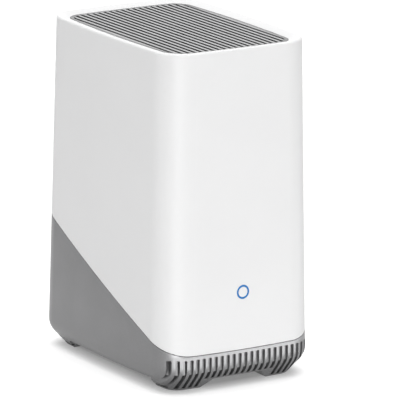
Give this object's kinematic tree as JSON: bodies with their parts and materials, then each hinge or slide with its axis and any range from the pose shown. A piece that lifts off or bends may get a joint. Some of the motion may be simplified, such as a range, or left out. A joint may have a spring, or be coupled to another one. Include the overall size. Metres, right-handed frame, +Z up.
{
  "type": "security base station",
  "caption": "Upright base station: white tapered sleeve, slotted top, slanted grey base on vented feet, status ring, rear ports, sync button and a drive tray below.",
  "frame": {"origin": "on the table, under the middle of the body", "axes": "+Z up; the front face, with the status ring, looks towards -Y; +X is to the right from the front"},
  "size_m": [0.0896, 0.1238, 0.168],
  "materials": {
    "white_shell": "fine satin moulded plastic",
    "grille_grey": "fine grey moulded plastic",
    "base_silver": "satin silver-grey paint on moulded plastic",
    "lens_blue": "tinted light pipe, lit blue",
    "black_plastic": "black moulded plastic",
    "frame_plastic": "dark grey moulded plastic",
    "rubber_grey": "soft rubber",
    "circuit_board": "green solder mask on glass laminate",
    "chip_black": "moulded chip package",
    "steel": "zinc-plated steel",
    "tin": "bright tin plate",
    "aluminium": "extruded, matt",
    "brass_gold": "gold-flashed contact metal",
    "led_white": "small lamp package",
    "paper": "pressed paper pulp",
    "mesh_black": "woven mesh",
    "wire_black": "wire insulation",
    "pad_blue": "silicone gap pad",
    "white_insert": "white moulded insulator"
  },
  "bodies": {
    "station": {"outer_sleeve": "white_shell", "top_grille": "grille_grey", "base_housing": "base_silver", "foot_pads": "rubber_grey", "status_lens": "lens_blue", "status_plug": "white_shell", "led_board": "circuit_board", "status_leds": "led_white", "led_screws": "steel", "acoustic_mesh": "mesh_black", "speaker_box": "black_plastic", "speaker_frame": "steel", "speaker_gasket": "rubber_grey", "speaker_cone": "paper", "speaker_magnet": "tin", "speaker_screws": "steel", "speaker_wires": "wire_black", "speaker_header": "white_insert", "spine": "frame_plastic", "frame_screws": "steel", "drive_cage": "steel", "cage_screws": "steel", "sata_connector": "black_plastic", "sata_board": "circuit_board", "sata_screws": "steel", "ribbon_headers": "white_insert", "drive_ribbon": "wire_black", "main_board": "circuit_board", "board_screws": "steel", "processor": "chip_black", "thermal_pad": "pad_blue", "heat_sink": "aluminium", "sink_pins": "white_insert", "memory_chips": "chip_black", "flash_chip": "chip_black", "shield_can": "tin", "line_transformer": "chip_black", "power_capacitors": "aluminium", "power_inductors": "chip_black", "wireless_module": "tin", "antennas": "circuit_board", "coax_leads": "wire_black", "ethernet_jack": "tin", "ethernet_pins": "brass_gold", "usb_shell": "tin", "usb_tongue": "white_insert", "power_jack": "black_plastic", "power_pin": "brass_gold", "sync_switch": "black_plastic"},
    "tray": {"drive_tray": "frame_plastic", "tray_bumpers": "rubber_grey"},
    "captive_screw": {"tray_screw": "steel"},
    "button": {"sync_button": "base_silver", "switch_plunger": "white_insert"}
  },
  "joints": [
    {"name": "tray_slide", "type": "slide", "parent": "station", "child": "tray", "axis": [0, 0, -1], "range_m": [0, 0.112]},
    {"name": "screw_turn", "type": "hinge", "parent": "tray", "child": "captive_screw", "pos_m": [0.0108, 0, 0.0052], "axis": [0, 0, 1], "range_deg": [-1440, 0]},
    {"name": "button_press", "type": "slide", "parent": "station", "child": "button", "axis": [0, -1, 0], "range_m": [0, 0.0006], "stiffness_N_per_m": 1500, "springref_m": -0.0003}
  ]
}
